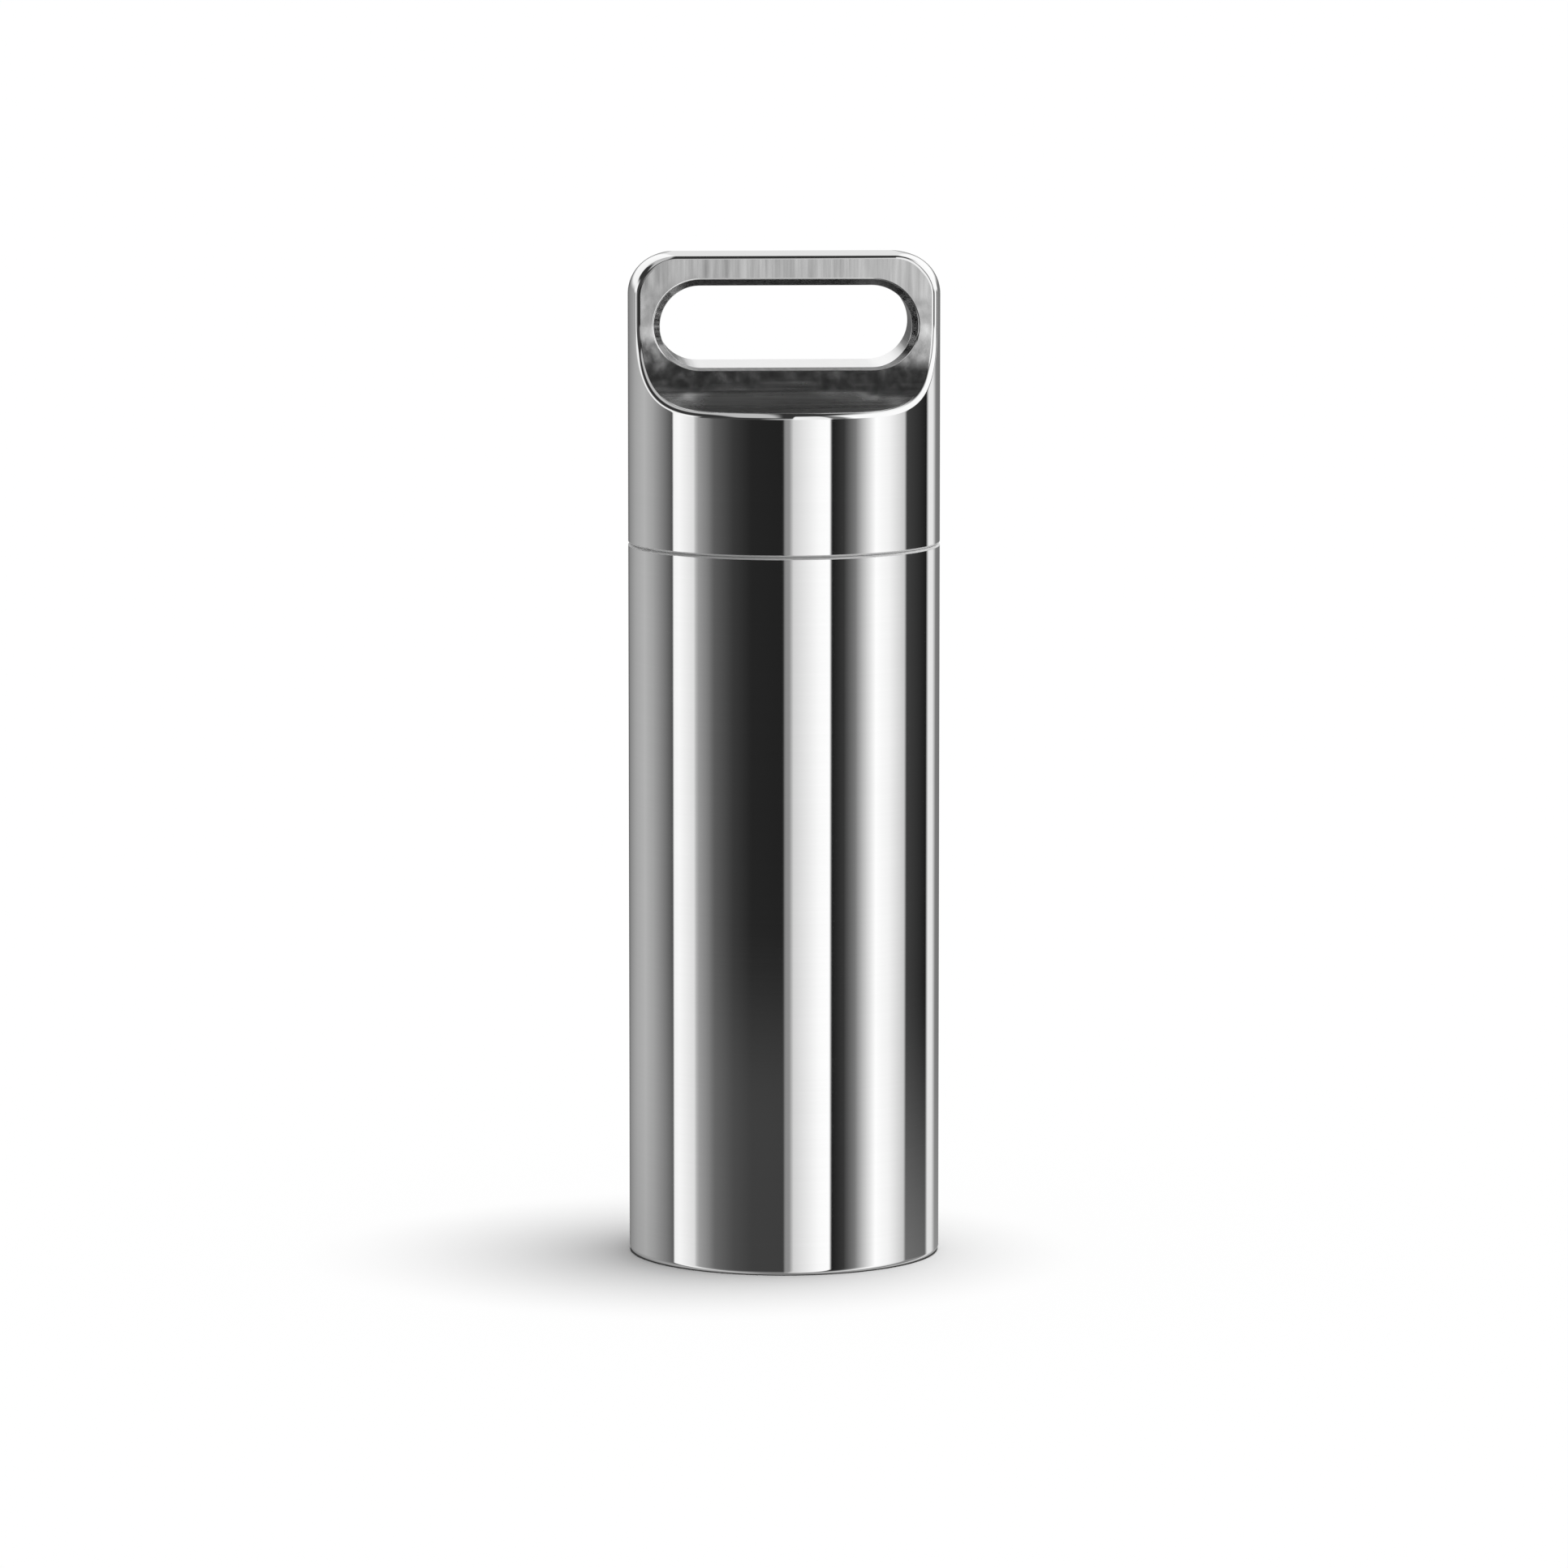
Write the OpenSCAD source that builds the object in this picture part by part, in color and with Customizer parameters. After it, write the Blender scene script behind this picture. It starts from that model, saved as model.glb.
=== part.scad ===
// Screw-capped pill case for a key ring: a turned steel container, a cap with a slotted handle
// and the sealing ring between them. The case stands on its base at z = 0, its axis is Z, the
// handle runs along X and the key slot goes through it along Y.

/* [Case] */
// Diameter of the case
case_d = 19.4; // [16:0.1:24]
// Height of the closed case, from its base to the top of the handle
case_h = 62.6; // [50:0.1:80]
// Height of the cap, from its rim to the top of the handle
cap_h = 18; // [16:0.1:22]
// Bevel round the base
base_bevel = 0.4; // [0.1:0.05:0.8]
// Bevel on each side of the seam
seam_bevel = 0.12; // [0.05:0.01:0.3]

/* [Handle] */
// Thickness of the handle
handle_t = 5.3; // [4:0.1:7]
// Depth of the scoops, below the top of the handle
scoop_depth = 9.15; // [7.6:0.05:11]
// Radius of the scoops, where the handle runs out into its foot
scoop_r = 5.2; // [3:0.1:6.5]
// Radius of the turned corner round the top
crown_r = 2.5; // [1:0.1:3.2]
// Steel between the slot and the sides of the handle
slot_side = 1.9; // [1.4:0.05:3]
// Steel between the slot and the top of the handle
slot_bar = 1.85; // [1.2:0.05:2.6]
// Height of the slot
slot_h = 5; // [4:0.1:6]

/* [Container] */
// Thickness of the floor under the pills
floor_t = 2.4; // [1.5:0.1:4]
// Bevel where the chamber's wall meets its floor
chamber_bevel = 0.8; // [0.2:0.1:1.5]
// Wall of the neck, inside the roots of its thread
neck_wall = 0.9; // [0.8:0.05:1.3]
// Wall of the neck at the groove for the sealing ring
groove_wall = 0.6; // [0.4:0.05:0.75]
// Height of the plain collar between the groove and the thread
collar_h = 0.5; // [0.3:0.05:0.8]
// Bevel on the edges of the neck's mouth
mouth_bevel = 0.25; // [0.1:0.05:0.35]

/* [Cap] */
// Wall of the cap, outside the roots of its thread
cap_wall = 1.38; // [1.2:0.02:2]
// Steel between the roof of the cap's hollow and the scoops
roof_t = 1.25; // [0.8:0.05:2]
// Bevel at the mouth of the cap's hollow
rim_bevel = 0.15; // [0.05:0.05:0.3]

/* [Thread] */
// Pitch of the thread
pitch = 1.5; // [1.2:0.05:1.8]
// Depth of the thread
thread_depth = 0.6; // [0.45:0.05:0.72]
// Angle of the thread's flanks
flank_angle = 30; // [20:1:32]

/* [Sealing ring] */
// Thickness of the sealing ring
ring_t = 1.2; // [0.9:0.05:1.45]

/* [Fits] */
// Clearance between crests and roots of the two threads
thread_gap = 0.12; // [0.06:0.01:0.2]
// Clearance between the flanks of the two threads, along the axis
flank_gap = 0.1; // [0.05:0.01:0.15]
// Clearance between the cap's rim and the container's shoulder
seam_gap = 0.02; // [0.01:0.01:0.1]
// Clearance round the sealing ring
ring_gap = 0.05; // [0.02:0.01:0.1]
// Clearance between the neck's mouth and the roof of the cap's hollow
roof_gap = 0.3; // [0.2:0.05:0.6]

/* [Hidden] */
$fn = 96;

// Steps of the thread in one turn, and how far its foot is sunk into the wall that carries it
STEPS = 48;
FOOT = 0.1;
// Turn over which a thread runs out at each end
RUN_OUT = 50;
// How far a cutter reaches past what it cuts
PAST = 1;

case_r = case_d / 2;
seam_z = case_h - cap_h;
shoulder_z = seam_z - seam_gap;

// Radii from the outside in: cap wall, cap thread, neck thread, neck wall, chamber
cap_root_r = case_r - cap_wall;
neck_crest_r = cap_root_r - thread_gap;
neck_root_r = neck_crest_r - thread_depth;
cap_crest_r = neck_root_r + thread_gap;
chamber_r = neck_root_r - neck_wall;
groove_r = chamber_r + groove_wall;
recess_r = groove_r + ring_t + 2 * ring_gap;

// Heights above the seam
hollow_h = cap_h - scoop_depth - roof_t;
neck_h = hollow_h - roof_gap;
groove_h = ring_t + 4 * ring_gap;
collar_top = groove_h + collar_h;
recess_h = groove_h;

// Width of a thread ridge, along the axis, at radius r: the neck's narrows outward, the cap's inward
mid_r = (neck_root_r + neck_crest_r) / 2;
function neck_ridge_w(r) = pitch / 2 - flank_gap - 2 * (r - mid_r) * tan(flank_angle);
function cap_ridge_w(r) = pitch / 2 - flank_gap + 2 * (r - mid_r) * tan(flank_angle);

// Centre heights of the ridges at their ends, above the seam: the cap's lies half a pitch higher
neck_first = collar_top + neck_ridge_w(neck_root_r) / 2;
neck_last = neck_h - mouth_bevel - neck_ridge_w(neck_root_r) / 2;
cap_lead = neck_first + pitch / 2;
cap_first = collar_top + flank_gap + cap_ridge_w(cap_root_r) / 2;
cap_last = hollow_h - roof_gap - cap_ridge_w(cap_root_r) / 2;
function turn_at(z, start) = 360 * (z - start) / pitch;

// Share of the full ridge at turn a, between its two ends
function grown(a, first, last) = min(1, (a - first) / RUN_OUT, (last - a) / RUN_OUT);

// A quadrilateral of the ridge at turn a: two points at its foot, two at its crest
function neck_section(a, first, last) =
    let (
        foot = neck_root_r - FOOT,
        crest = foot + FOOT / 2 + (neck_crest_r - foot - FOOT / 2) * grown(a, first, last),
        z = seam_z + neck_first + pitch * a / 360
    )
    section(a, z, foot, neck_ridge_w(foot), crest, neck_ridge_w(crest));

function cap_section(a, first, last) =
    let (
        foot = cap_root_r + FOOT,
        crest = foot - FOOT / 2 - (foot - FOOT / 2 - cap_crest_r) * grown(a, first, last),
        z = seam_z + cap_lead + pitch * a / 360
    )
    section(a, z, crest, cap_ridge_w(crest), foot, cap_ridge_w(foot));

function section(a, z, inner, inner_w, outer, outer_w) = [
    [inner * cos(a), inner * sin(a), z - inner_w / 2],
    [outer * cos(a), outer * sin(a), z - outer_w / 2],
    [outer * cos(a), outer * sin(a), z + outer_w / 2],
    [inner * cos(a), inner * sin(a), z + inner_w / 2]
];

// Joins the sections, four points each, into one closed ridge
module ridge(sections) {
    last = len(sections) - 1;
    sides = [
        for (i = [0:last - 1], j = [0:3])
            [4 * i + j, 4 * i + (j + 1) % 4, 4 * i + 4 + (j + 1) % 4, 4 * i + 4 + j]
    ];
    start = [3, 2, 1, 0];
    end = [for (j = [0:3]) 4 * last + j];
    polyhedron(points = [for (s = sections) each s], faces = concat([start], sides, [end]));
}

module neck_thread() {
    last = turn_at(neck_last, neck_first);
    count = ceil(STEPS * last / 360);
    ridge([for (i = [0:count]) neck_section(last * i / count, 0, last)]);
}

module cap_thread() {
    first = turn_at(cap_first, cap_lead);
    last = turn_at(cap_last, cap_lead);
    count = ceil(STEPS * (last - first) / 360);
    ridge([for (i = [0:count]) cap_section(first + (last - first) * i / count, first, last)]);
}

// Section through the container's wall and floor, without its thread
module container_profile() {
    groove_z = shoulder_z + groove_h;
    neck_z = seam_z + neck_h;
    polygon([
        [0, 0],
        [case_r - base_bevel, 0],
        [case_r, base_bevel],
        [case_r, shoulder_z - seam_bevel],
        [case_r - seam_bevel, shoulder_z],
        [groove_r, shoulder_z],
        [groove_r, groove_z],
        [neck_crest_r, groove_z],
        [neck_crest_r, seam_z + collar_top],
        [neck_root_r, seam_z + collar_top],
        [neck_root_r, neck_z - mouth_bevel],
        [neck_root_r - mouth_bevel, neck_z],
        [chamber_r + mouth_bevel, neck_z],
        [chamber_r, neck_z - mouth_bevel],
        [chamber_r, floor_t + chamber_bevel],
        [chamber_r - chamber_bevel, floor_t],
        [0, floor_t]
    ]);
}

module container() {
    color("silver") {
        rotate_extrude() container_profile();
        neck_thread();
    }
}

module sealing_ring() {
    ring_r = groove_r + ring_gap + ring_t / 2;
    color("dimgray")
        translate([0, 0, shoulder_z + ring_gap + ring_t / 2])
            rotate_extrude()
                translate([ring_r, 0]) circle(d = ring_t);
}

// Section through the turned cap, with its hollow and without its thread
module cap_profile() {
    difference() {
        translate([0, seam_z]) square([case_r, cap_h]);
        // round corner at the top
        translate([case_r - crown_r, case_h - crown_r])
            difference() {
                square(crown_r + PAST);
                circle(r = crown_r);
            }
        // bevel at the seam
        translate([case_r, seam_z])
            polygon([[-seam_bevel, 0], [-seam_bevel, -PAST], [PAST, -PAST], [PAST, seam_bevel],
                     [0, seam_bevel]]);
        // hollow for the neck, wider at its mouth for the sealing ring
        translate([0, seam_z])
            polygon([
                [-PAST, -PAST],
                [recess_r + rim_bevel, -PAST],
                [recess_r + rim_bevel, 0],
                [recess_r, rim_bevel],
                [recess_r, recess_h],
                [cap_root_r, recess_h + (recess_r - cap_root_r)],
                [cap_root_r, hollow_h],
                [-PAST, hollow_h]
            ]);
    }
}

// Everything beside the handle, down to the floor of one scoop
module scoop() {
    rotate([90, 0, 90])
        linear_extrude(height = case_d + 2 * PAST, center = true)
            difference() {
                translate([handle_t / 2, case_h - scoop_depth])
                    square([case_d, scoop_depth + PAST]);
                translate([handle_t / 2, case_h - scoop_depth])
                    difference() {
                        square(scoop_r);
                        translate([scoop_r, scoop_r]) circle(r = scoop_r);
                    }
            }
}

module key_slot() {
    half = (case_d - 2 * slot_side - slot_h) / 2;
    translate([0, 0, case_h - slot_bar - slot_h / 2])
        rotate([90, 0, 0])
            linear_extrude(height = case_d + 2 * PAST, center = true) {
                square([2 * half, slot_h], center = true);
                for (side = [-1, 1])
                    translate([side * half, 0]) circle(d = slot_h);
            }
}

module cap() {
    color("gainsboro") {
        difference() {
            rotate_extrude() cap_profile();
            for (side = [0, 1])
                mirror([0, side, 0]) scoop();
            key_slot();
        }
        cap_thread();
    }
}

container();
sealing_ring();
cap();
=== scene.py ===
import math

import bmesh
import bpy
import numpy as np
from mathutils import Matrix, Vector


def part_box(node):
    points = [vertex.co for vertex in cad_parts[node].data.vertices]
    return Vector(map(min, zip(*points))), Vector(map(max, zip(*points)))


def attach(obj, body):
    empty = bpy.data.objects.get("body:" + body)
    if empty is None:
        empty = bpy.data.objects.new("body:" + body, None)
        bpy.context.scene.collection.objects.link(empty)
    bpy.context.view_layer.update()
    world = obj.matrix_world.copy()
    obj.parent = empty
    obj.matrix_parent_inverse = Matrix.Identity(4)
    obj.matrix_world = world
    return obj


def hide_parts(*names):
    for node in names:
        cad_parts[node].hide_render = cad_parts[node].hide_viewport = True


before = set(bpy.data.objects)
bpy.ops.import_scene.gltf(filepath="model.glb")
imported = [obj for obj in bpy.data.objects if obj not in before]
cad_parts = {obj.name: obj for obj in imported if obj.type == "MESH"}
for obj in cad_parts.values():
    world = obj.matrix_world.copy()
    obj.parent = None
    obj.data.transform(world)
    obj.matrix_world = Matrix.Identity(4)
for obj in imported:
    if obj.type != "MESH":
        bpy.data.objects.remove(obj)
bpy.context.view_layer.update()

MM = 0.001

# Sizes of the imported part, in millimetres
case_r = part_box("container")[1].x / MM
case_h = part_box("cap")[1].z / MM
seam_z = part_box("cap")[0].z / MM
neck_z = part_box("container")[1].z / MM
seam_gap = 0.02
shoulder_z = seam_z - seam_gap
handle_t = 5.3
scoop_depth = 9.15
scoop_r = 5.2
crown_r = 2.5
slot_side = 1.9
slot_bar = 1.85
slot_h = 5.0
floor_t = 2.4
chamber_bevel = 0.8
mouth_bevel = 0.25
rim_bevel = 0.15
cap_root_r = 8.32
neck_crest_r = 8.2
neck_root_r = 7.6
cap_crest_r = 7.72
chamber_r = 6.7
groove_r = 7.3
recess_r = 8.6
groove_h = 1.4
collar_top = 1.9
hollow_h = 7.6
pitch = 1.5
flank_angle = math.radians(30)
flank_gap = 0.1
ring_t = 1.2
ring_gap = 0.05

# Edges as the photograph shows them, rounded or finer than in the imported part
base_edge_r = 0.3
edge_r = 0.42
top_edge_r = 0.2
lip_r = 0.5
lip_deeper = 0.06
lip_round = 0.14
seam_edge = 0.09
seam_r = 0.03
# Rounding of the turned edges and of the thread
turned_r = 0.08
tooth_r = 0.06
# How far the seam's own steel goes up or down from the seam's edge, and inwards from it
seam_rise = 0.04
seam_face = 0.2
# Width of the polished band round the turned base
base_band = 0.7
# A thread's ridge starts this far under the surface, and grows to its full height over these degrees
ridge_sunk = 0.05
ridge_fade = 50
# The sealing ring's moulding line: how far it stands out, and its spread as a share of the ring's radius
flash_h = 0.012
flash_w = 0.06

# Where the slot, the scoops and the crown's rounding are centred, and half the slot's straight length
slot_z = case_h - slot_bar - slot_h / 2
slot_half = case_r - slot_side - slot_h / 2
scoop_y = handle_t / 2 + scoop_r
scoop_z = case_h - scoop_depth + scoop_r
crown_x = case_r - crown_r
crown_z = case_h - crown_r
# Where the cap's polished steel ends, just over the seam
skirt_z = seam_z + seam_edge + seam_rise

# Points closer than this are welded into one
weld = 0.0002

# The camera's place round the case, its aim and its lens, in degrees and millimetres
CAMERA_AZIMUTH = -3.0
CAMERA_ELEVATION = 7.3
CAMERA_DISTANCE = 560.0
AIM_Z = 29.4
VIEW_WIDTH = 98.0
SENSOR = 36.0


def grey(level):
    """Linear brightness of a grey level from 0 to 255."""
    share = level / 255
    if share <= 0.04045:
        return share / 12.92
    return ((share + 0.055) / 1.055) ** 2.4


def unit(v):
    return v / np.linalg.norm(v, axis=-1, keepdims=True)


def spaced(start, end, steps):
    """Evenly spaced values from start to just short of end."""
    return np.linspace(start, end, steps, endpoint=False)


def put(name, data):
    """A new object in the scene."""
    piece = bpy.data.objects.new(name, data)
    bpy.context.scene.collection.objects.link(piece)
    return piece


class Skin:
    """Grids of points with their normals, in millimetres, welded into one mesh."""

    def __init__(self, name, materials):
        self.name = name
        self.materials = materials
        self.points = []
        self.normals = []
        self.faces = []
        self.slots = []
        self.count = 0

    def grid(self, points, normals, material, loop=False):
        """Adds rows by columns of points. With loop, the last column joins the first."""
        rows, columns = points.shape[:2]
        index = self.count + np.arange(rows * columns).reshape(rows, columns)
        self.count += rows * columns
        self.points.append(points.reshape(-1, 3))
        self.normals.append(unit(normals).reshape(-1, 3))
        if loop:
            index = np.hstack([index, index[:, :1]])
        quads = np.stack([index[:-1, :-1], index[:-1, 1:], index[1:, 1:], index[1:, :-1]], -1)
        quads = quads.reshape(-1, 4)
        self.faces.append(quads)
        self.slots.append(np.full(len(quads), self.materials.index(material)))

    def mirrored(self, points, normals, material, axis, loop=False):
        """Adds a grid and its mirror image."""
        flip = np.ones(3)
        flip[axis] = -1
        self.grid(points, normals, material, loop)
        self.grid(points * flip, normals * flip, material, loop)

    def build(self):
        """Welds the grids, faces them outwards and gives the mesh the normals kept beside its points."""
        points = np.vstack(self.points)
        normals = np.vstack(self.normals)
        faces = np.vstack(self.faces)
        corners = points[faces]
        across = np.cross(corners[:, 2] - corners[:, 0], corners[:, 3] - corners[:, 1])
        inward = (across * normals[faces].sum(1)).sum(1) < 0
        faces[inward] = faces[inward][:, ::-1]
        mesh = bpy.data.meshes.new(self.name)
        mesh.from_pydata((points * MM).tolist(), [], faces.tolist())
        kept = mesh.attributes.new("kept_normal", "FLOAT_VECTOR", "POINT")
        kept.data.foreach_set("vector", normals.astype(np.float32).ravel())
        mesh.polygons.foreach_set("material_index", np.concatenate(self.slots).astype(np.int32))
        work = bmesh.new()
        work.from_mesh(mesh)
        bmesh.ops.remove_doubles(work, verts=work.verts, dist=weld * MM)
        work.to_mesh(mesh)
        work.free()
        mesh.shade_smooth()
        read = np.zeros(len(mesh.vertices) * 3, np.float32)
        mesh.attributes["kept_normal"].data.foreach_get("vector", read)
        mesh.attributes.remove(mesh.attributes["kept_normal"])
        mesh.normals_split_custom_set_from_vertices(read.reshape(-1, 3).tolist())
        for material in self.materials:
            mesh.materials.append(material)
        return put(self.name, mesh)


def rounded(corners, longest=1.0):
    """Points and normals along an open line of (r, z, radius) corners, with an arc at each inner corner.

    The outside is on the line's right, and no straight step is longer than longest."""
    arc_step = 12
    places = [np.array(c[:2], float) for c in corners]
    points = [places[0]]
    normals = []
    last = len(corners) - 1

    def right_of(direction):
        return np.array([direction[1], -direction[0]])

    def run(end, direction):
        steps = max(1, math.ceil(np.linalg.norm(end - points[-1]) / longest))
        start = points[-1]
        for i in range(1, steps + 1):
            points.append(start + (end - start) * i / steps)
            normals.append(right_of(direction))

    for i in range(1, last + 1):
        before = unit(places[i] - places[i - 1])
        if i == 1:
            normals.append(right_of(before))
        if i == last:
            run(places[i], before)
            continue
        after = unit(places[i + 1] - places[i])
        turn = math.atan2(before[0] * after[1] - before[1] * after[0], float(before @ after))
        radius = corners[i][2]
        start = places[i] - before * radius * math.tan(abs(turn) / 2)
        run(start, before)
        side = math.copysign(1, turn)
        centre = start - right_of(before) * radius * side
        steps = max(3, math.ceil(abs(math.degrees(turn)) / arc_step))
        for k in range(1, steps + 1):
            angle = turn * k / steps
            normal = right_of(before)
            normal = np.array([
                normal[0] * math.cos(angle) - normal[1] * math.sin(angle),
                normal[0] * math.sin(angle) + normal[1] * math.cos(angle),
            ])
            points.append(centre + normal * radius * side)
            normals.append(normal)
    return np.array(points), np.array(normals)


def turn_profile(profile, angles):
    """The profile's points and normals at each of the angles."""
    points, normals = profile
    shape = (len(points), len(angles))
    c = np.broadcast_to(np.cos(angles), shape)
    s = np.broadcast_to(np.sin(angles), shape)
    r, z = points[:, :1], points[:, 1:]
    nr, nz = normals[:, :1], normals[:, 1:]
    return (
        np.stack([r * c, r * s, np.broadcast_to(z, shape)], -1),
        np.stack([nr * c, nr * s, np.broadcast_to(nz, shape)], -1),
    )


def soft_larger(a, b, reach):
    """The larger of a and b, rounded where they meet, and how much of it is b."""
    share = np.clip(0.5 + (b - a) / (2 * reach), 0, 1)
    return a + (b - a) * share + reach * share * (1 - share), share


def ridge_radius(angle, z, first_z, first, last, root, crest, outward):
    """Radius of a thread's ridge over a turned surface, far below the surface between its turns.

    The ridge runs from the first to the last angle, in degrees, and fades into the surface there."""
    lead = (z - first_z) / pitch - angle / (2 * math.pi)
    turn = np.round(lead)
    off = (lead - turn) * pitch
    along = np.degrees(angle) + 360 * turn
    grown = np.clip(np.minimum(along - first, last - along) / ridge_fade, -0.2, 1)
    middle = (neck_root_r + neck_crest_r) / 2
    side = 1 if outward else -1
    top = root + side * (-ridge_sunk + (abs(crest - root) + ridge_sunk) * grown)
    flank = middle + side * (pitch / 2 - flank_gap - 2 * np.abs(off)) / (2 * math.tan(flank_angle))
    return side * -soft_larger(-side * top, -side * flank, tooth_r)[0]


def cut_thread(points, normals, angles, ridge, outward):
    """Raises a ridge on the grid of a turned surface, and turns its normals to match."""
    side = 1 if outward else -1
    r = np.hypot(points[..., 0], points[..., 1])
    z = points[..., 2]
    angle = np.broadcast_to(angles, r.shape)
    height = ridge(angle, z)
    step = 0.002
    slope_z = (ridge(angle, z + step) - ridge(angle, z - step)) / (2 * step)
    turn = step / r
    slope_a = (ridge(angle + turn, z) - ridge(angle - turn, z)) / (2 * step)
    raised, share = soft_larger(side * r, side * height, tooth_r)
    raised *= side
    c, s = np.cos(angle), np.sin(angle)
    tilt = np.stack([c + slope_a * s, s - slope_a * c, -slope_z], -1) * side
    share = share[..., None]
    new_points = np.stack([raised * c, raised * s, z], -1)
    return new_points, unit(normals) * (1 - share) + unit(tilt) * share


# Threads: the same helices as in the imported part


def ridge_width(radius, outward):
    """How wide a thread's ridge is at this radius, on the neck when outward and in the cap otherwise."""
    middle = (neck_root_r + neck_crest_r) / 2
    side = -1 if outward else 1
    return pitch / 2 - flank_gap + side * 2 * (radius - middle) * math.tan(flank_angle)


neck_foot_w = ridge_width(neck_root_r, True)
cap_foot_w = ridge_width(cap_root_r, False)
neck_first = collar_top + neck_foot_w / 2
neck_last = neck_z - seam_z - mouth_bevel - neck_foot_w / 2
cap_lead = neck_first + pitch / 2
cap_first = collar_top + flank_gap + cap_foot_w / 2
cap_last = neck_z - seam_z - cap_foot_w / 2


def neck_ridge(angle, z):
    last = 360 * (neck_last - neck_first) / pitch
    return ridge_radius(angle, z, seam_z + neck_first, 0, last, neck_root_r, neck_crest_r, True)


def cap_ridge(angle, z):
    first = 360 * (cap_first - cap_lead) / pitch
    last = 360 * (cap_last - cap_lead) / pitch
    return ridge_radius(angle, z, seam_z + cap_lead, first, last, cap_root_r, cap_crest_r, False)


def build_container(body, seam, neck, bore, base):
    skin = Skin("container_turned", [body, seam, neck, bore, base])
    angles = spaced(0, 2 * math.pi, 360)
    groove_z = shoulder_z + groove_h
    collar_z = seam_z + collar_top
    base_flat_r = case_r - base_band
    edge = case_r - seam_edge
    below_seam = shoulder_z - seam_edge - seam_rise
    mouth_r = (neck_root_r + chamber_r) / 2

    def turned(corners, material, longest=3.0):
        points, normals = turn_profile(rounded(corners, longest), angles)
        skin.grid(points, normals, material, loop=True)

    turned([(0, 0), (base_flat_r, 0)], base)
    turned([
        (base_flat_r, 0),
        (case_r, 0, base_edge_r),
        (case_r, below_seam)
    ], body)
    turned([
        (case_r, below_seam),
        (case_r, shoulder_z - seam_edge, seam_r),
        (edge, shoulder_z, seam_r),
        (edge - seam_face, shoulder_z)
    ], seam, 0.1)
    points, normals = rounded([
        (edge - seam_face, shoulder_z),
        (groove_r, shoulder_z, turned_r),
        (groove_r, groove_z, turned_r),
        (neck_crest_r, groove_z, turned_r),
        (neck_crest_r, collar_z, turned_r),
        (neck_root_r, collar_z, turned_r),
        (neck_root_r, neck_z - mouth_bevel, turned_r),
        (neck_root_r - mouth_bevel, neck_z, turned_r),
        (mouth_r, neck_z)
    ], 0.07)
    grid, tilts = turn_profile((points, normals), angles)
    above = points[:, 1] > collar_z - turned_r
    grid[above], tilts[above] = cut_thread(grid[above], tilts[above], angles, neck_ridge, True)
    skin.grid(grid, tilts, neck, loop=True)
    turned([
        (mouth_r, neck_z),
        (chamber_r + mouth_bevel, neck_z, turned_r),
        (chamber_r, neck_z - mouth_bevel, turned_r),
        (chamber_r, floor_t + chamber_bevel, 0.3),
        (chamber_r - chamber_bevel, floor_t, 0.3),
        (0, floor_t)
    ], bore)
    return skin.build()


def half_outline():
    """The ball that rounds the handle's edge on the right of the front face, from top to bottom centre.

    Returns its centres, its normals where it touches the turned surface and the milled one, and its radii."""
    top_steps = 27
    corner_steps = 25
    side_steps = 29
    scoop_steps = 53
    foot_steps = 29
    rows = []

    def row(ball_r, centre, turned_n, milled_n):
        rows.append((centre, turned_n, milled_n, [ball_r]))

    def inner_y(ball_r):
        return handle_t / 2 - ball_r

    top_x = math.sqrt(crown_x**2 - inner_y(top_edge_r)**2)
    for share in spaced(0, 1, top_steps):
        row(top_edge_r, (top_x * share, -inner_y(top_edge_r), case_h - top_edge_r), (0, 0, 1), (0, -1, 0))
    for lean in spaced(math.pi / 2, 0, corner_steps):
        ball_r = edge_r + (top_edge_r - edge_r) * max(0, math.sin(2 * lean - math.pi / 2))
        r = crown_x + (crown_r - ball_r) * math.cos(lean)
        z = crown_z + (crown_r - ball_r) * math.sin(lean)
        y = inner_y(ball_r)
        x = math.sqrt(r * r - y * y)
        row(ball_r, (x, -y, z), (math.cos(lean) * x / r, -math.cos(lean) * y / r, math.sin(lean)), (0, -1, 0))
    inner_r = case_r - edge_r
    y = inner_y(edge_r)
    x = math.sqrt(inner_r**2 - y * y)
    for z in spaced(crown_z, scoop_z, side_steps):
        row(edge_r, (x, -y, z), (x / inner_r, -y / inner_r, 0), (0, -1, 0))
    for lean in spaced(0, math.pi / 2, scoop_steps):
        y = -scoop_y + (scoop_r + edge_r) * math.cos(lean)
        z = scoop_z - (scoop_r + edge_r) * math.sin(lean)
        x = math.sqrt(inner_r**2 - y * y)
        row(edge_r, (x, y, z), (x / inner_r, y / inner_r, 0), (0, -math.cos(lean), math.sin(lean)))
    swing = math.acos(scoop_y / inner_r)
    for angle in np.linspace(swing, 0, foot_steps + 1):
        x, y = math.sin(angle), -math.cos(angle)
        row(edge_r, (inner_r * x, inner_r * y, scoop_z - scoop_r - edge_r), (x, y, 0), (0, 0, 1))
    return tuple(np.array(column, float) for column in zip(*rows))


def whole_loop(half, mirror=(-1, 1, 1)):
    """Joins a half outline and its mirror image into one loop."""
    return np.vstack([half, half[-2:0:-1] * np.array(mirror)])


def along_face(points):
    """How far a point of the front milled face lies from where the scoop begins, along the face."""
    y, z = -points[:, 1], points[:, 2]
    lean = np.arctan2(np.maximum(scoop_z - z, 0), scoop_y - y)
    flat = z - scoop_z
    rest = -scoop_r * math.pi / 2 - (y - scoop_y)
    return np.where(z > scoop_z, flat, np.where(y > scoop_y, rest, -scoop_r * lean))


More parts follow.
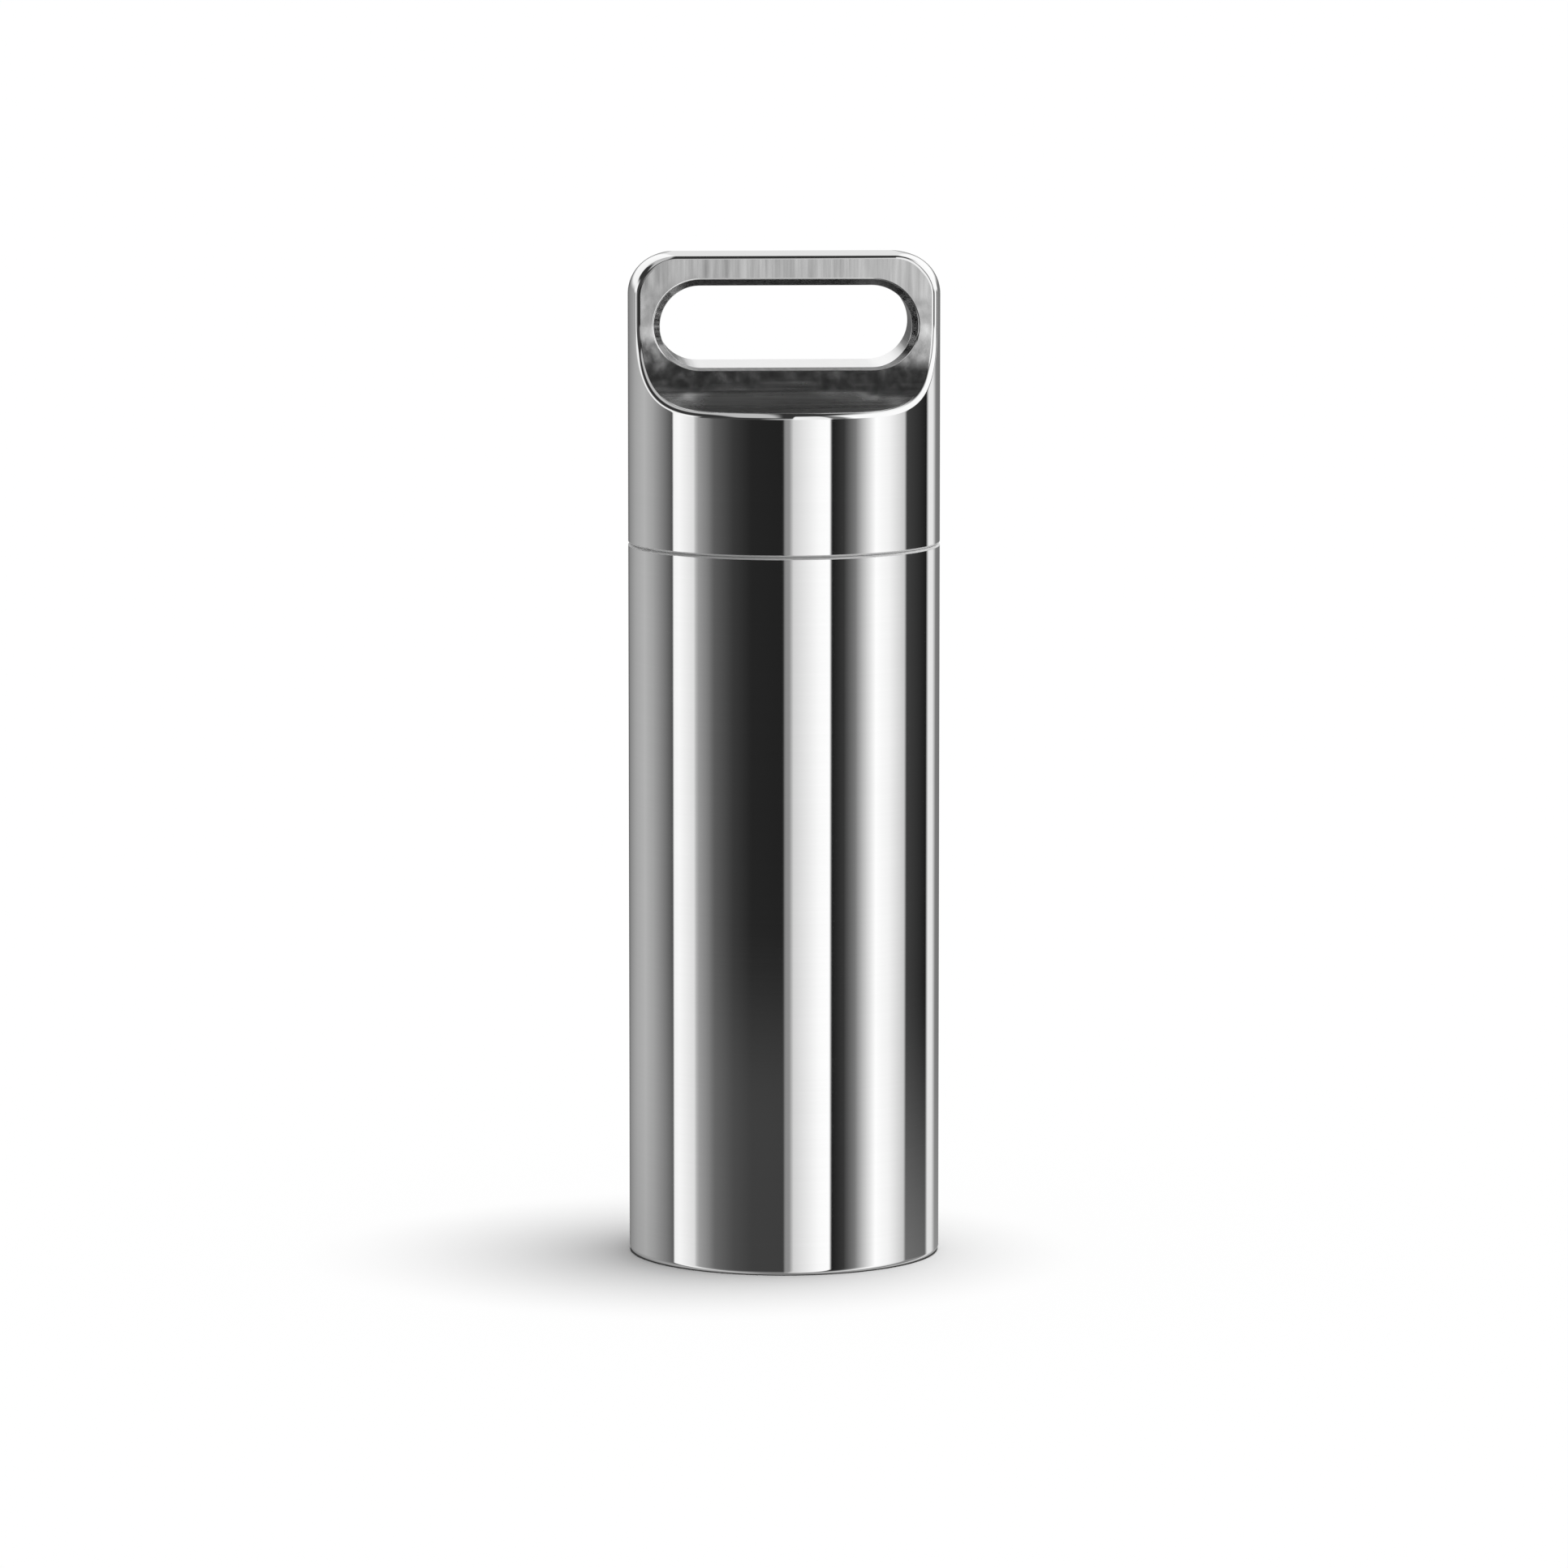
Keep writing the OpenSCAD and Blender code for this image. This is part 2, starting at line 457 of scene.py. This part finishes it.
def on_face(x, along):
    """Points and normals of the front milled face."""
    lean = np.clip(-along / scoop_r, 0, math.pi / 2)
    past = np.maximum(-along - scoop_r * math.pi / 2, 0)
    y = -scoop_y + scoop_r * np.cos(lean) - past
    z = scoop_z - scoop_r * np.sin(lean) + np.maximum(along, 0)
    points = np.stack([x, y, z], -1)
    normals = np.stack([np.zeros_like(x), -np.cos(lean), np.sin(lean)], -1)
    return points, normals


def slot_outline(share):
    """The ball that rounds the slot's front edge, by share of the way round, clockwise from the top.

    Returns its centres, and its normals where it touches the milled face and the slot's wall."""
    r = slot_h / 2 + lip_r
    arc = math.pi * r
    length = 4 * slot_half + 2 * arc
    way = np.mod(share, 1) * length
    turn_1 = np.clip((way - slot_half) / r, 0, math.pi)
    turn_2 = np.clip((way - 3 * slot_half - arc) / r, 0, math.pi)
    flat = np.minimum(way, slot_half) - np.clip(way - slot_half - arc, 0, 2 * slot_half)
    flat = flat + np.maximum(way - 3 * slot_half - 2 * arc, 0)
    turn = turn_1 + turn_2
    outward = np.stack([np.sin(turn), np.zeros_like(turn), np.cos(turn)], -1)
    z = slot_z + r * np.cos(turn)
    x = flat + r * np.sin(turn)
    reach = scoop_r + lip_r
    down = np.maximum(scoop_z - z, 0)
    lean = np.arcsin(down / reach)
    y = -scoop_y + reach * np.cos(lean)
    milled_n = np.stack([np.zeros_like(x), -np.cos(lean), np.sin(lean)], -1)
    return np.stack([x, y, z], -1), milled_n, -outward


def bevel(centres, from_n, to_n, reach, deeper, radius, steps):
    """A flat bevel between two surfaces that touch a ball of radius reach, with rounded edges.

    It goes deeper along the second surface."""
    down = unit((from_n * to_n).sum(-1, keepdims=True) * to_n - from_n)
    first = centres + (reach - radius) * from_n
    second = centres + (reach - radius) * to_n + deeper * down
    along = unit(second - first)
    middle = from_n + to_n
    flat_n = unit(middle - (middle * along).sum(-1, keepdims=True) * along)
    parts = [sweep(first, from_n, flat_n, radius, steps), sweep(second, flat_n, to_n, radius, steps)]
    return [np.vstack(part) for part in zip(*parts)]


def sweep(centres, from_n, to_n, radius, steps):
    """The surface of a ball of this radius between two contact normals, at each centre."""
    cosine = np.clip((from_n * to_n).sum(-1), -1, 1)
    angle = np.arccos(cosine)[None, :, None]
    share = np.linspace(0, 1, steps + 1)[:, None, None]
    normals = (np.sin((1 - share) * angle) * from_n + np.sin(share * angle) * to_n) / np.sin(angle)
    return centres + radius * normals, normals


def lowered(edge):
    """Rows of points from an edge straight down to where the polished steel ends."""
    rows = 12
    points = np.repeat(edge[None], rows, 0)
    points[..., 2] += (skirt_z - points[..., 2]) * np.linspace(0, 1, rows)[:, None]
    return points


def end_strip(centres, turned_n, radii):
    """The turned strip from the middle of the handle's top down its right end, and its normals."""
    count = 25
    spread = np.linspace(-1, 1, count)
    points = []
    normals = []
    for centre, normal, radius in zip(centres, turned_n, radii):
        touch = centre + radius * normal
        if normal[2] == 1:
            y = crown_x * np.sin(spread * math.asin(-touch[1] / crown_x))
            x = np.sqrt(crown_x**2 - y**2) * touch[0] / math.sqrt(crown_x**2 - touch[1]**2)
            points.append(np.stack([x, y, np.full(count, case_h)], -1))
            normals.append(np.tile(normal, (count, 1)))
            continue
        r = math.hypot(touch[0], touch[1])
        profile = np.array([[r, touch[2]]]), np.array([[math.hypot(normal[0], normal[1]), normal[2]]])
        row, row_n = turn_profile(profile, spread * math.asin(-touch[1] / r))
        points.append(row[0])
        normals.append(row_n[0])
    below = lowered(points[-1])[1:]
    return np.array(points + list(below)), np.array(normals + normals[-1:] * len(below))


def front_skirt(centres, turned_n):
    """The turned skirt under the front scoop, and its normals."""
    front = np.vstack([centres, centres[-2::-1] * (-1, 1, 1)])
    front_n = np.vstack([turned_n, turned_n[-2::-1] * (-1, 1, 1)])
    points = lowered(front + edge_r * front_n)
    return points, np.repeat(front_n[None], len(points), 0)


def add_faces(skin, outline, body, satin, lip, wall):
    """The rounded outline of each milled face, the faces, and the slot with its edges."""
    centres, turned_n, milled_n, radii = outline
    outline_steps = 8
    face_rows = 22
    lip_steps = 4
    wall_rows = 16
    loop_c, loop_t, loop_m = whole_loop(centres), whole_loop(turned_n), whole_loop(milled_n)
    loop_r = whole_loop(radii, 1)
    skin.mirrored(*sweep(loop_c, loop_t, loop_m, loop_r, outline_steps), body, 1, loop=True)

    # Each point of the outline is joined to the point of the slot's edge in the same direction
    outer = loop_c + loop_r * loop_m
    outer_x, outer_u = outer[:, 0], along_face(outer)
    middle_u = slot_z - scoop_z
    fine = spaced(0, 1, 4000)
    fine_c, fine_m, _ = slot_outline(fine)
    fine_touch = fine_c + lip_r * fine_m
    fine_angle = np.unwrap(np.arctan2(fine_touch[:, 0], along_face(fine_touch) - middle_u))
    outer_angle = np.mod(np.arctan2(outer_x, outer_u - middle_u), 2 * math.pi)
    slot_c, slot_m, slot_n = slot_outline(np.interp(outer_angle, fine_angle, fine, period=2 * math.pi))
    inner = slot_c + lip_r * slot_m
    inner_x, inner_u = inner[:, 0], along_face(inner)
    rows = np.linspace(0, 1, face_rows)[:, None]
    face = on_face(outer_x + (inner_x - outer_x) * rows, outer_u + (inner_u - outer_u) * rows)
    skin.mirrored(*face, satin, 1, loop=True)

    points, normals = bevel(slot_c, slot_m, slot_n, lip_r, lip_deeper, lip_round, lip_steps)
    skin.mirrored(points[:lip_steps + 1], normals[:lip_steps + 1], body, 1, loop=True)
    skin.mirrored(points[lip_steps:], normals[lip_steps:], lip, 1, loop=True)
    edge = slot_c + lip_r * slot_n + lip_deeper * np.array([0, 1, 0])
    through = np.repeat(edge[None], wall_rows, 0)
    through[..., 1] *= np.linspace(1, -1, wall_rows)[:, None]
    skin.grid(through, np.repeat(slot_n[None], wall_rows, 0), wall, loop=True)


def add_hollow(skin, angles, hollow, seam):
    """The cap's hollow with its thread, and the rim on the seam."""
    hollow_z = seam_z + hollow_h
    recess_z = seam_z + groove_h
    rim_r = case_r - seam_edge
    roof = rounded([(0, hollow_z), (chamber_r, hollow_z)], 3.0)
    skin.grid(*turn_profile(roof, angles), hollow, loop=True)
    points, normals = rounded([
        (chamber_r, hollow_z),
        (cap_root_r, hollow_z, 0.15),
        (cap_root_r, recess_z + recess_r - cap_root_r, turned_r),
        (recess_r, recess_z, turned_r),
        (recess_r, seam_z + rim_bevel, turned_r),
        (recess_r + rim_bevel, seam_z, turned_r),
        (rim_r - seam_face, seam_z)
    ], 0.08)
    grid, tilts = turn_profile((points, normals), angles)
    inside = (points[:, 1] > recess_z) & (points[:, 0] > cap_crest_r - 0.2)
    grid[inside], tilts[inside] = cut_thread(grid[inside], tilts[inside], angles, cap_ridge, False)
    skin.grid(grid, tilts, hollow, loop=True)
    rim = rounded([
        (rim_r - seam_face, seam_z),
        (rim_r, seam_z, seam_r),
        (case_r, seam_z + seam_edge, seam_r),
        (case_r, skirt_z)
    ], 0.1)
    skin.grid(*turn_profile(rim, angles), seam, loop=True)


def build_cap(body, seam, satin, lip, wall, hollow):
    skin = Skin("cap_milled", [body, seam, satin, lip, wall, hollow])
    outline = half_outline()
    centres, turned_n, milled_n, radii = outline
    scoop_start = int(np.argmax(milled_n[:, 2] > 0)) - 1
    strip, strip_n = end_strip(centres[:scoop_start + 1], turned_n, radii)
    skirt, skirt_n = front_skirt(centres[scoop_start:], turned_n[scoop_start:])
    skin.mirrored(strip, strip_n, body, 0)
    skin.mirrored(skirt, skirt_n, body, 1)
    add_faces(skin, outline, body, satin, lip, wall)

    # The hollow and the rim have their points at the same angles as the skirt, which they meet
    feet = [strip[-1], skirt[-1] * (1, -1, 1), strip[-1] * (-1, -1, 1), skirt[-1] * (-1, 1, 1)]
    ring = np.vstack([foot[:-1] for foot in feet])
    angles = np.unwrap(np.arctan2(ring[:, 1], ring[:, 0]))
    add_hollow(skin, angles, hollow, seam)
    return skin.build()


def build_ring(rubber):
    skin = Skin("sealing_ring_moulded", [rubber])
    angles = spaced(0, 2 * math.pi, 288)
    round_angles = np.linspace(0, 2 * math.pi, 97)
    flash = flash_h * np.exp(-(np.sin(round_angles) / flash_w) ** 2)
    r = ring_t / 2 - flash_h + flash
    centre_r = groove_r + ring_gap + ring_t / 2
    centre_z = shoulder_z + ring_gap + ring_t / 2
    points = np.stack([centre_r + r * np.cos(round_angles), centre_z + r * np.sin(round_angles)], -1)
    normals = np.stack([np.cos(round_angles), np.sin(round_angles)], -1)
    skin.grid(*turn_profile((points, normals), angles), rubber, loop=True)
    return skin.build()


def add(tree, kind, inputs=None, **settings):
    """Adds a node, sets it up, and links or fills its inputs."""
    node = tree.nodes.new(kind)
    for key, value in settings.items():
        setattr(node, key, value)
    for key, value in (inputs or {}).items():
        if isinstance(value, bpy.types.NodeSocket):
            tree.links.new(value, node.inputs[key])
        else:
            node.inputs[key].default_value = value
    return node


def maths(tree, operation, one, other):
    return add(tree, "ShaderNodeMath", {0: one, 1: other}, operation=operation).outputs[0]


def climb(tree, value, low, high):
    """Smoothly from 0 to 1 as the value goes from low to high."""
    limits = {"From Min": low, "From Max": high}
    return add(
        tree, "ShaderNodeMapRange", {"Value": value, **limits}, interpolation_type="SMOOTHSTEP"
    ).outputs[0]


def own_place(tree):
    """Where a point lies along the piece's own axes, in metres."""
    return add(tree, "ShaderNodeSeparateXYZ", {0: add(tree, "ShaderNodeTexCoord").outputs["Object"]}).outputs


def new_material(name):
    material = bpy.data.materials.new(name)
    material.use_nodes = True
    return material, material.node_tree, material.node_tree.nodes["Principled BSDF"]


def noise(tree, grains, detail=2.0):
    """Noise from 0 to 1, with this many grains to the millimetre along each of the piece's own axes."""
    where = add(tree, "ShaderNodeTexCoord").outputs["Object"]
    scale = tuple(n / MM for n in grains)
    stretched = add(tree, "ShaderNodeVectorMath", {0: where, 1: scale}, operation="MULTIPLY")
    return add(
        tree, "ShaderNodeTexNoise", {"Vector": stretched.outputs["Vector"], "Scale": 1.0, "Detail": detail}
    ).outputs["Fac"]


def turning_marks(tree, lines):
    """Noise from 0 to 1 in rings round the case's axis, with this many lines to the millimetre."""
    where = own_place(tree)
    flat = add(tree, "ShaderNodeCombineXYZ", {"X": where["X"], "Y": where["Y"]})
    radius = add(tree, "ShaderNodeVectorMath", {0: flat.outputs[0]}, operation="LENGTH")
    ring = add(tree, "ShaderNodeCombineXYZ", {"X": radius.outputs["Value"], "Y": where["Z"]})
    return add(
        tree, "ShaderNodeTexNoise", {"Vector": ring.outputs[0], "Scale": lines / MM, "Detail": 3.0}
    ).outputs["Fac"]


def between(tree, value, low, high):
    """Spreads the middle of a noise over a range."""
    limits = {"From Min": 0.3, "From Max": 0.7, "To Min": low, "To Max": high}
    return add(tree, "ShaderNodeMapRange", {"Value": value, **limits}).outputs[0]


def blend(tree, factor, one, other):
    return add(tree, "ShaderNodeMix", {"Factor": factor, "A": one, "B": other}).outputs["Result"]


def carve(tree, shader, *layers):
    """Bumps the surface by layers of (height, depth in millimetres)."""
    normal = None
    for height, depth in layers:
        inputs = {"Height": height, "Distance": depth * MM}
        if normal:
            inputs["Normal"] = normal
        normal = add(tree, "ShaderNodeBump", inputs).outputs[0]
    tree.links.new(normal, shader.inputs["Normal"])


def steel(name):
    material, tree, shader = new_material(name)
    shader.inputs["Metallic"].default_value = 1
    return material, tree, shader


def one_finish(tree, shader, marks, tones, roughness):
    """Makes the brightness and the roughness follow the marks, each over its range."""
    tree.links.new(between(tree, marks, *tones), shader.inputs["Base Color"])
    tree.links.new(between(tree, marks, *roughness), shader.inputs["Roughness"])


def two_finishes(tree, shader, marks, share, one, other):
    """Like one_finish, and goes from one pair of tones and roughness to the other as the share goes to 1."""
    for name, low, high in zip(("Base Color", "Roughness"), one, other):
        mixed = blend(tree, share, between(tree, marks, *low), between(tree, marks, *high))
        tree.links.new(mixed, shader.inputs[name])


def polished_steel():
    """Buffed to a mirror, with faint polishing rings and hazier patches."""
    material, tree, shader = steel("polished_steel")
    marks = blend(tree, 0.35, noise(tree, (0.16, 0.16, 0.1), 3), turning_marks(tree, 5))
    one_finish(tree, shader, marks, (0.775, 0.805), (0.02, 0.05))
    carve(tree, shader, (turning_marks(tree, 7), 0.00006))
    return material


def satin_steel():
    """Milled and brushed: upright strokes over the slot, lines along the scoops, mottled between them. Near
    the scoops' floor the steel is rougher, and its colour is darkened as painted shade.
    """
    material, tree, shader = steel("satin_steel")
    sway = 0.7 * MM
    z = maths(tree, "ADD", own_place(tree)["Z"], between(tree, noise(tree, (0.3, 0.3, 0.3)), -sway, sway))

    def above(start, end):
        """From 0 to 1 as the height in millimetres, which sways a little, goes from start to end."""
        return climb(tree, z, start * MM, end * MM)

    slot_top = slot_z + slot_h / 2
    scoop_floor = scoop_z - scoop_r
    mottled = noise(tree, (1.4, 1.0, 1.0), 5)
    strokes = noise(tree, (2.6, 0.16, 0.16), 5)
    lines = noise(tree, (0.1, 3.0, 3.0), 4)
    upper = blend(tree, above(slot_top - 0.8, slot_top + 0.4), mottled, strokes)
    marks = blend(tree, above(scoop_floor + 0.6, scoop_floor + 2.0), lines, upper)
    out_of_scoop = above(scoop_floor + 0.3, scoop_floor + 1.7)
    # Near the scoops' floor the tones are painted shade, darker than the steel itself; the higher roughness
    # there is real
    rough_painted_shade = (0.2, 0.36), (0.24, 0.34)
    bright = (0.5, 0.9), (0.1, 0.2)
    two_finishes(tree, shader, marks, out_of_scoop, rough_painted_shade, bright)
    carve(tree, shader, (marks, 0.0014), (noise(tree, (11, 11, 11)), 0.0002))
    return material


def lip_steel():
    """The slot's bevelled edge: smooth, its colour darkened as painted shade, with a rougher brushed stretch
    along the bottom whose paler colour is a painted highlight.
    """
    material, tree, shader = steel("lip_steel")
    low = climb(tree, own_place(tree)["Z"], (slot_z - 1.7) * MM, (slot_z - 2.4) * MM)
    marks = noise(tree, (3, 3, 3))
    # The smooth tones are painted shade, darker than the steel; the brushed tones are a painted highlight,
    # paler than the steel, on a really rougher finish
    smooth = (0.44, 0.56), (0.1, 0.16)
    brushed = (0.86, 0.96), (0.5, 0.56)
    two_finishes(tree, shader, marks, low, smooth, brushed)
    carve(tree, shader, (marks, 0.0001))
    return material


def slot_steel():
    """The slot's wall, milled smooth, with fine cutter marks."""
    material, tree, shader = steel("slot_steel")
    marks = noise(tree, (5, 0.1, 5))
    one_finish(tree, shader, marks, (0.72, 0.8), (0.06, 0.14))
    carve(tree, shader, (marks, 0.0001))
    return material


def turned_steel(name, tones, roughness, lines, depth):
    """Turned on a lathe and left so, with this many lines to the millimetre."""
    material, tree, shader = steel(name)
    marks = turning_marks(tree, lines)
    one_finish(tree, shader, marks, tones, roughness)
    carve(tree, shader, (marks, depth), (noise(tree, (9, 9, 9)), 0.0001))
    return material


def rubber():
    """Moulded black rubber, matte, with a fine grain and a little bloom."""
    material, tree, shader = new_material("seal_rubber")
    bloom = noise(tree, (0.5, 0.5, 0.5), 4)
    one_finish(tree, shader, bloom, (0.014, 0.028), (0.45, 0.62))
    carve(tree, shader, (noise(tree, (14, 14, 14), 3), 0.004))
    return material


# How much of the light the polished steel gives back
POLISH = 0.79

# What the polished steel shows level with the camera: degrees to its right, and the grey level there
STRIPES = [
    (-180, 110),
    (-172, 84),
    (-163, 124),
    (-142, 161),
    (-126, 176),
    (-114, 160),
    (-100, 119),
    (-90.8, 76),
    (-89.4, 244),
    (-84, 248),
    (-70.4, 220),
    (-68.4, 176),
    (-66, 150),
    (-58, 121),
    (-53, 90),
    (-38, 56),
    (-24, 36),
    (-0.8, 33),
    (0, 92),
    (1, 138),
    (4, 141),
    (7, 208),
    (26, 250),
    (33.7, 254),
    (35.4, 28),
    (45, 54),
    (54, 118),
    (72, 254),
    (84, 241),
    (100.4, 198),
    (103.2, 62),
    (131, 28),
    (135.6, 228),
    (144, 224),
    (152.5, 122),
    (160, 110),
    (180, 110)
]

# The same higher up
BAND = [
    (-180, 235),
    (-90, 240),
    (-71, 250),
    (-64, 70),
    (-18, 60),
    (-4, 165),
    (0, 165),
    (5, 180),
    (8, 240),
    (34, 235),
    (37, 110),
    (46, 120),
    (54, 250),
    (150, 250),
    (180, 235)
]


def studio():
    """What the steel mirrors, placed by direction round the case, and an even light for the floor."""
    world = bpy.data.worlds.new("studio")
    bpy.context.scene.world = world
    world.use_nodes = True
    world.cycles.sampling_method = "NONE"
    tree = world.node_tree
    tree.nodes.clear()
    azimuth = math.radians(CAMERA_AZIMUTH)
    way = add(tree, "ShaderNodeTexCoord").outputs["Generated"]
    front = (math.sin(azimuth), -math.cos(azimuth), 0)
    right = (math.cos(azimuth), math.sin(azimuth), 0)
    ahead = add(tree, "ShaderNodeVectorMath", {0: way, 1: front}, operation="DOT_PRODUCT")
    aside = add(tree, "ShaderNodeVectorMath", {0: way, 1: right}, operation="DOT_PRODUCT")
    aside, ahead = aside.outputs["Value"], ahead.outputs["Value"]
    angle = maths(tree, "ARCTAN2", aside, ahead)
    height = add(tree, "ShaderNodeSeparateXYZ", {0: way}).outputs["Z"]
    is_right = maths(tree, "GREATER_THAN", angle, 0.0)

    def side(stops, first):
        """Brightness over the half turn from first degrees."""
        limits = {"From Min": math.radians(first), "From Max": math.radians(first + 180)}
        share = add(tree, "ShaderNodeMapRange", {"Value": angle, **limits})
        ramp = add(tree, "ShaderNodeValToRGB", {"Fac": share.outputs[0]})
        stops = [stop for stop in stops if first <= stop[0] <= first + 180]
        elements = ramp.color_ramp.elements
        while len(elements) < len(stops):
            elements.new(0.5)
        for element, (degrees, level) in zip(elements, stops):
            element.position = (degrees - first) / 180
            shown = grey(level) / POLISH
            element.color = (shown, shown, shown, 1)
        return add(tree, "ShaderNodeRGBToBW", {0: ramp.outputs[0]}).outputs[0]

    def around(stops):
        return blend(tree, is_right, side(stops, -180), side(stops, 0))

    def rise(low, high):
        """From 0 to 1 as the elevation in degrees goes from low to high."""
        return climb(tree, height, math.sin(math.radians(low)), math.sin(math.radians(high)))

    # Up to level: dark at the very bottom, then the stripes
    stripes = around(STRIPES)
    below = blend(tree, rise(-85, -75), 0.12, blend(tree, 0.5, stripes, 0.5))
    with_stripes = blend(tree, rise(-70, -35), below, stripes)

    # The floor behind the case, paler on the right, and a faint haze low down on the left
    near_floor = blend(tree, rise(-8.5, -12), 0, blend(tree, rise(-60, -35), 0, 0.45))
    behind = blend(tree, climb(tree, ahead, 0, -0.25), 0, near_floor)
    floor_tone = blend(tree, climb(tree, aside, -0.3, 0.3), 0.2, 0.6)
    with_floor = blend(tree, behind, with_stripes, floor_tone)
    low_left = blend(tree, climb(tree, aside, 0.03, -0.03), 0, blend(tree, rise(-8.2, -9.4), 0, 0.06))
    with_haze = blend(tree, low_left, with_floor, 0.7)

    # Above level: the band, then a dark ceiling that is pale on the far right and has a window on the left
    with_band = blend(tree, rise(0, 6), with_haze, around(BAND))
    left_window = blend(tree, climb(tree, aside, 0, -0.12), 0, climb(tree, aside, -0.62, -0.46))
    high_left = blend(tree, left_window, 0, rise(29, 39))
    ceiling = blend(tree, high_left, blend(tree, climb(tree, aside, 0.3, 0.6), 0.04, 0.55), 0.62)
    top = blend(tree, climb(tree, aside, 0.1, 0.12), rise(15, 27), rise(48, 68))
    seen = blend(tree, top, with_band, ceiling)

    # Only mirrors see the studio: the floor's light is even, and the background is white
    path = add(tree, "ShaderNodeLightPath")
    plain = blend(tree, path.outputs["Is Camera Ray"], 0.1, 1.0)
    from_floor = maths(tree, "GREATER_THAN", path.outputs["Diffuse Depth"], 0.5)
    mirrored = add(tree, "ShaderNodeBackground", {"Color": blend(tree, from_floor, seen, 0.05)})
    dome = add(tree, "ShaderNodeBackground", {"Color": plain})
    mix = add(tree, "ShaderNodeMixShader", {
        0: path.outputs["Is Glossy Ray"],
        1: dome.outputs[0],
        2: mirrored.outputs[0]
    })
    add(tree, "ShaderNodeOutputWorld", {"Surface": mix.outputs[0]})


def floor():
    """Pale paper, a hair below the base, that the steel doesn't mirror."""
    mesh = bpy.data.meshes.new("floor")
    reach = 4.0
    corners = [(-reach, -reach, 0), (reach, -reach, 0), (reach, reach, 0), (-reach, reach, 0)]
    mesh.from_pydata(corners, [], [(0, 1, 2, 3)])
    piece = put("floor", mesh)
    material, _, shader = new_material("floor_paper")
    shader.inputs["Base Color"].default_value = (0.9, 0.9, 0.9, 1)
    shader.inputs["Roughness"].default_value = 1
    shader.inputs["Specular IOR Level"].default_value = 0
    mesh.materials.append(material)
    piece.visible_glossy = False
    piece.location.z = -0.02 * MM


def lamp():
    """One large soft light, high up and a little to the right of the case."""
    data = bpy.data.lights.new("key", "SUN")
    data.energy = 3.2
    data.angle = math.radians(28)
    key = put("key", data)
    key.rotation_euler = (math.radians(5.5), 0, math.radians(108))
    key.visible_glossy = False


def camera():
    data = bpy.data.cameras.new("camera")
    data.sensor_width = SENSOR
    data.lens = SENSOR * CAMERA_DISTANCE / VIEW_WIDTH
    data.clip_start = 0.01
    data.clip_end = 20
    azimuth = math.radians(CAMERA_AZIMUTH)
    elevation = math.radians(CAMERA_ELEVATION)
    back = Vector((
        math.sin(azimuth) * math.cos(elevation),
        -math.cos(azimuth) * math.cos(elevation),
        math.sin(elevation),
    ))
    right = Vector((math.cos(azimuth), math.sin(azimuth), 0))
    turned = Matrix((right, back.cross(right), back)).transposed()
    piece = put("camera", data)
    aim = Vector((0, 0, AIM_Z * MM))
    piece.matrix_world = Matrix.Translation(aim + back * CAMERA_DISTANCE * MM) @ turned.to_4x4()
    bpy.context.scene.camera = piece


polished = polished_steel()
seam_steel = turned_steel("seam_steel", (0.72, 0.8), (0.58, 0.68), 6, 0.0004)
thread_steel = turned_steel("thread_steel", (0.66, 0.76), (0.14, 0.24), 8, 0.0008)
bore_steel = turned_steel("bore_steel", (0.58, 0.7), (0.24, 0.36), 6, 0.0014)
base_steel = turned_steel("base_steel", (0.64, 0.78), (0.2, 0.32), 4, 0.0014)

container = build_container(polished, seam_steel, thread_steel, bore_steel, base_steel)
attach(container, "container")
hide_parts("container")

cap = build_cap(polished, seam_steel, satin_steel(), lip_steel(), slot_steel(), thread_steel)
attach(cap, "cap")
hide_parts("cap")

ring = build_ring(rubber())
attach(ring, "seal")
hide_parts("sealing_ring")

camera()
studio()
lamp()
floor()
bpy.context.scene.view_settings.view_transform = "Standard"
